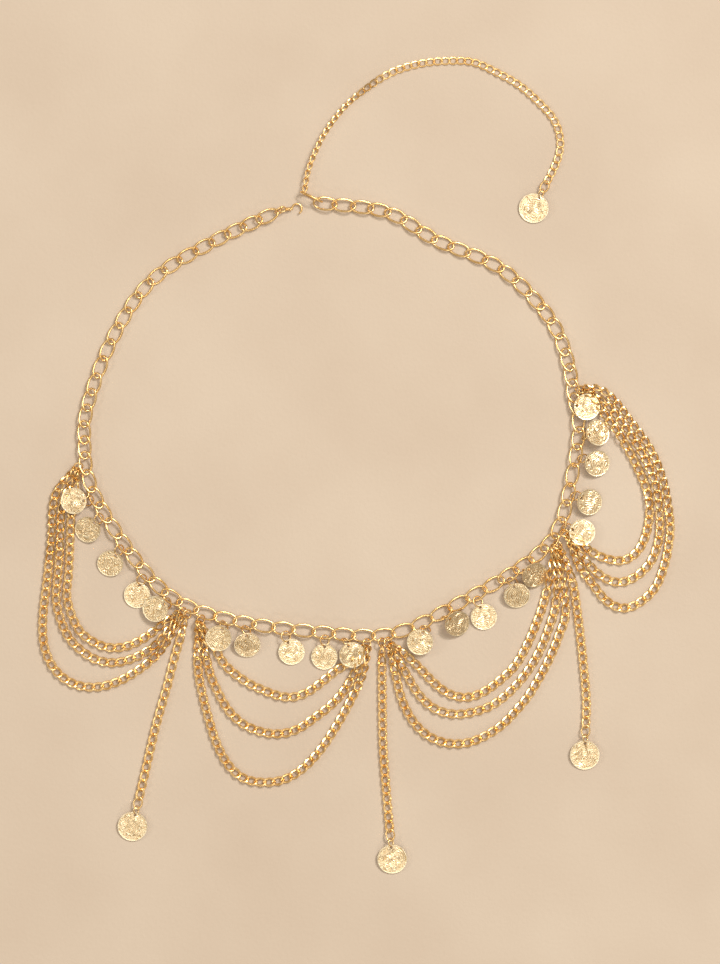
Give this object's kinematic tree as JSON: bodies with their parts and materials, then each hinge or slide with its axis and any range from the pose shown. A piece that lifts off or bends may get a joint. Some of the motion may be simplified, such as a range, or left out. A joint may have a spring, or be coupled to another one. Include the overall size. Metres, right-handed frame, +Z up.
{
  "type": "coin belt",
  "caption": "Gold-coloured hip chain of large oval links with hammered coins on jump rings, hanging curb chains in groups, drops with larger coins, a wire hook and a tail chain.",
  "frame": {"origin": "middle of the belt's box on the surface it lies on", "axes": "+Y from the drops to the clasp along the belt's longest extent, +Z up off the surface"},
  "size_m": [0.3877, 0.4984, 0.0087],
  "materials": {
    "gold": "polished gold-coloured plating",
    "pale_gold": "hammered pale gold-coloured plating"
  },
  "bodies": {
    "belt": {"hip_chain_1": "gold", "hip_chain_2": "gold", "hip_chain_3": "gold", "hip_chain_4": "gold", "hip_chain_5": "gold", "hip_chain_6": "gold", "hip_chain_7": "gold", "hip_chain_8": "gold", "hip_chain_9": "gold", "hip_chain_10": "gold", "swag_1_long": "gold", "swag_1_middle": "gold", "swag_1_short": "gold", "swag_2_short": "gold", "swag_2_middle": "gold", "swag_2_long": "gold", "swag_3_short": "gold", "swag_3_middle": "gold", "swag_3_long": "gold", "swag_4_short": "gold", "swag_4_middle": "gold", "swag_4_long": "gold", "drop_1": "gold", "drop_2": "gold", "drop_3": "gold", "tail_chain": "gold"},
    "coin_1": {"coin_1": "pale_gold"},
    "coin_2": {"coin_2": "pale_gold"},
    "coin_3": {"coin_3": "pale_gold"},
    "coin_4": {"coin_4": "pale_gold"},
    "coin_5": {"coin_5": "pale_gold"},
    "coin_6": {"coin_6": "pale_gold"},
    "coin_7": {"coin_7": "pale_gold"},
    "coin_8": {"coin_8": "pale_gold"},
    "coin_9": {"coin_9": "pale_gold"},
    "coin_10": {"coin_10": "pale_gold"},
    "coin_11": {"coin_11": "pale_gold"},
    "coin_12": {"coin_12": "pale_gold"},
    "coin_13": {"coin_13": "pale_gold"},
    "coin_14": {"coin_14": "pale_gold"},
    "coin_15": {"coin_15": "pale_gold"},
    "coin_16": {"coin_16": "pale_gold"},
    "coin_17": {"coin_17": "pale_gold"},
    "coin_18": {"coin_18": "pale_gold"},
    "coin_19": {"coin_19": "pale_gold"},
    "coin_20": {"coin_20": "pale_gold"},
    "drop_1_coin": {"drop_1_coin": "pale_gold"},
    "drop_2_coin": {"drop_2_coin": "pale_gold"},
    "drop_3_coin": {"drop_3_coin": "pale_gold"},
    "tail_chain_coin": {"tail_chain_coin": "pale_gold"},
    "clasp_ring": {"clasp_ring": "gold"},
    "hook": {"hook": "gold"}
  },
  "joints": [
    {"name": "coin_1_hinge", "type": "hinge", "parent": "belt", "child": "coin_1", "pos_m": [-0.16238, -0.02138, 0.0027], "axis": [-0.4494, 0.8933, 0], "range_deg": [0, 90]},
    {"name": "coin_2_hinge", "type": "hinge", "parent": "belt", "child": "coin_2", "pos_m": [-0.15641, -0.03217, 0.00296], "axis": [-0.6204, 0.7843, 0], "range_deg": [0, 105]},
    {"name": "coin_3_hinge", "type": "hinge", "parent": "belt", "child": "coin_3", "pos_m": [-0.14404, -0.05122, 0.00289], "axis": [-0.6472, 0.7623, 0], "range_deg": [0, 80]},
    {"name": "coin_4_hinge", "type": "hinge", "parent": "belt", "child": "coin_4", "pos_m": [-0.13047, -0.06896, 0.00293], "axis": [-0.7283, 0.6852, 0], "range_deg": [0, 5]},
    {"name": "coin_5_hinge", "type": "hinge", "parent": "belt", "child": "coin_5", "pos_m": [-0.11467, -0.08355, 0.0027], "axis": [-0.825, 0.5651, 0], "range_deg": [0, 75]},
    {"name": "coin_6_hinge", "type": "hinge", "parent": "belt", "child": "coin_6", "pos_m": [-0.08077, -0.09713, 0.00276], "axis": [-0.9764, 0.2158, 0], "range_deg": [0, 85]},
    {"name": "coin_7_hinge", "type": "hinge", "parent": "belt", "child": "coin_7", "pos_m": [-0.06726, -0.1, 0.00295], "axis": [-0.9982, 0.0598, 0], "range_deg": [0, 55]},
    {"name": "coin_8_hinge", "type": "hinge", "parent": "belt", "child": "coin_8", "pos_m": [-0.04309, -0.10353, 0.00299], "axis": [-0.9994, -0.0358, 0], "range_deg": [0, 105]},
    {"name": "coin_9_hinge", "type": "hinge", "parent": "belt", "child": "coin_9", "pos_m": [-0.01941, -0.1059, 0.00286], "axis": [-0.9998, 0.0175, 0], "range_deg": [0, 105]},
    {"name": "coin_10_hinge", "type": "hinge", "parent": "belt", "child": "coin_10", "pos_m": [-0.00629, -0.10718, 0.00299], "axis": [-0.9982, -0.0592, 0], "range_deg": [0, 90]},
    {"name": "coin_11_hinge", "type": "hinge", "parent": "belt", "child": "coin_11", "pos_m": [0.04167, -0.09947, 0.0027], "axis": [-0.9018, -0.4322, 0], "range_deg": [0, 45]},
    {"name": "coin_12_hinge", "type": "hinge", "parent": "belt", "child": "coin_12", "pos_m": [0.0548, -0.09263, 0.00293], "axis": [-0.8087, -0.5882, 0], "range_deg": [0, 75]},
    {"name": "coin_13_hinge", "type": "hinge", "parent": "belt", "child": "coin_13", "pos_m": [0.07369, -0.08228, 0.00253], "axis": [-0.9209, -0.3898, 0], "range_deg": [0, 105]},
    {"name": "coin_14_hinge", "type": "hinge", "parent": "belt", "child": "coin_14", "pos_m": [0.09457, -0.07028, 0.0027], "axis": [-0.8466, -0.5322, 0], "range_deg": [0, 65]},
    {"name": "coin_15_hinge", "type": "hinge", "parent": "belt", "child": "coin_15", "pos_m": [0.10446, -0.06375, 0.00287], "axis": [-0.7997, -0.6005, 0], "range_deg": [0, 50]},
    {"name": "coin_16_hinge", "type": "hinge", "parent": "belt", "child": "coin_16", "pos_m": [0.12741, -0.03806, 0.00296], "axis": [-0.27, -0.9629, 0], "range_deg": [0, 5]},
    {"name": "coin_17_hinge", "type": "hinge", "parent": "belt", "child": "coin_17", "pos_m": [0.13291, -0.01856, 0.0027], "axis": [-0.2072, -0.9783, 0], "range_deg": [0, 60]},
    {"name": "coin_18_hinge", "type": "hinge", "parent": "belt", "child": "coin_18", "pos_m": [0.1372, 0.00432, 0.00253], "axis": [-0.2474, -0.9689, 0], "range_deg": [0, 105]},
    {"name": "coin_19_hinge", "type": "hinge", "parent": "belt", "child": "coin_19", "pos_m": [0.13913, 0.01777, 0.00322], "axis": [0.0142, -0.9999, 0], "range_deg": [0, 60]},
    {"name": "coin_20_hinge", "type": "hinge", "parent": "belt", "child": "coin_20", "pos_m": [0.13702, 0.03894, 0.00283], "axis": [0.354, -0.9352, 0], "range_deg": [0, 5]},
    {"name": "drop_1_coin_hinge", "type": "hinge", "parent": "belt", "child": "drop_1_coin", "pos_m": [-0.13412, -0.20954, 0.00255], "axis": [-0.9734, 0.229, 0], "range_deg": [0, 105]},
    {"name": "drop_2_coin_hinge", "type": "hinge", "parent": "belt", "child": "drop_2_coin", "pos_m": [0.02083, -0.22918, 0.00255], "axis": [-0.9964, -0.0848, 0], "range_deg": [0, 105]},
    {"name": "drop_3_coin_hinge", "type": "hinge", "parent": "belt", "child": "drop_3_coin", "pos_m": [0.13961, -0.1657, 0.00255], "axis": [-0.9995, 0.0313, 0], "range_deg": [0, 105]},
    {"name": "tail_chain_coin_hinge", "type": "hinge", "parent": "belt", "child": "tail_chain_coin", "pos_m": [0.11313, 0.16666, 0.00255], "axis": [-0.8943, 0.4474, 0], "range_deg": [0, 105]},
    {"name": "clasp_ring_hinge", "type": "hinge", "parent": "belt", "child": "clasp_ring", "pos_m": [-0.0481, 0.15472, 0.00282], "axis": [0.4117, -0.9113, 0], "range_deg": [0, 45]},
    {"name": "hook_hinge", "type": "hinge", "parent": "clasp_ring", "child": "hook", "pos_m": [-0.04509, 0.15608, 0.00282], "axis": [0.03, -0.9996, 0], "range_deg": [0, 45]}
  ]
}
